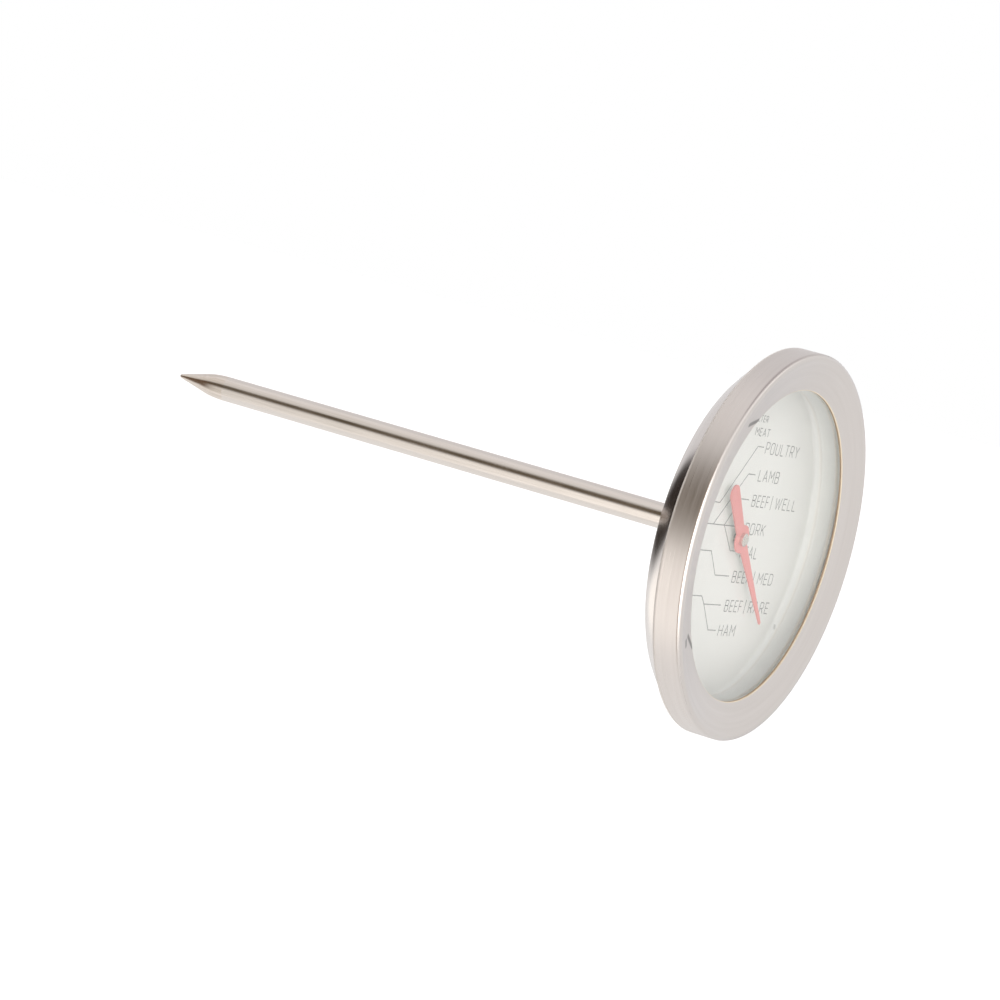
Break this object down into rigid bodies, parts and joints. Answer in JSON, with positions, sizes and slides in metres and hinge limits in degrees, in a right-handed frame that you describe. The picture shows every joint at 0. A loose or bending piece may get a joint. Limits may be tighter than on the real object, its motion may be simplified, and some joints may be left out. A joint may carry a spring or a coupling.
{
  "type": "dial meat thermometer",
  "caption": "Dial meat thermometer: a steel case with a glass window, a printed food dial, a turning red pointer and a fixed pointed stem.",
  "frame": {"origin": "on the stem's axis, in the plane of the case back's flat middle, where the stem leaves the case", "axes": "+Y along the stem towards its point, so the dial faces -Y; +Z towards the dial's twelve o'clock; +X to the reader's right"},
  "size_m": [0.07, 0.1277, 0.07],
  "materials": {
    "bezel_steel": "brushed stainless",
    "case_steel": "polished stainless",
    "stem_steel": "drawn stainless, fine grain along the stem",
    "tip_steel": "ground stainless",
    "lens_glass": "clear",
    "gasket_silicone": "matt, light",
    "dial_paint": "satin off-white with printed grey lettering",
    "pointer_red": "satin red",
    "pin_cap": "bright",
    "hub_brass": "turned",
    "bushing_steel": "turned stainless",
    "seal_rubber": "matt",
    "guide_brass": "turned",
    "shaft_steel": "drawn wire",
    "bimetal": "cold rolled bimetal strip"
  },
  "bodies": {
    "case": {"bezel_ring": "bezel_steel", "case_back": "case_steel", "lens": "lens_glass", "lens_gasket": "gasket_silicone", "dial_plate": "dial_paint", "stem_tube": "stem_steel", "stem_tip": "tip_steel", "stem_bushing": "bushing_steel", "bushing_seal": "seal_rubber", "bushing_washer": "bushing_steel", "bushing_nut": "bushing_steel", "upper_shaft_guide": "guide_brass", "middle_shaft_guide": "guide_brass", "lower_shaft_guide": "guide_brass", "bimetal_coil": "bimetal", "coil_anchor": "guide_brass"},
    "pointer_group": {"pointer": "pointer_red", "pointer_hub": "hub_brass", "pointer_cap": "pin_cap", "pointer_shaft": "shaft_steel", "shaft_stop_collar": "guide_brass", "coil_collar": "guide_brass"}
  },
  "joints": [
    {"name": "pointer_turn", "type": "hinge", "parent": "case", "child": "pointer_group", "pos_m": [0, 0, 0], "axis": [0, 1, 0], "range_deg": [-45, 200], "deforming": ["bimetal_coil"]}
  ]
}
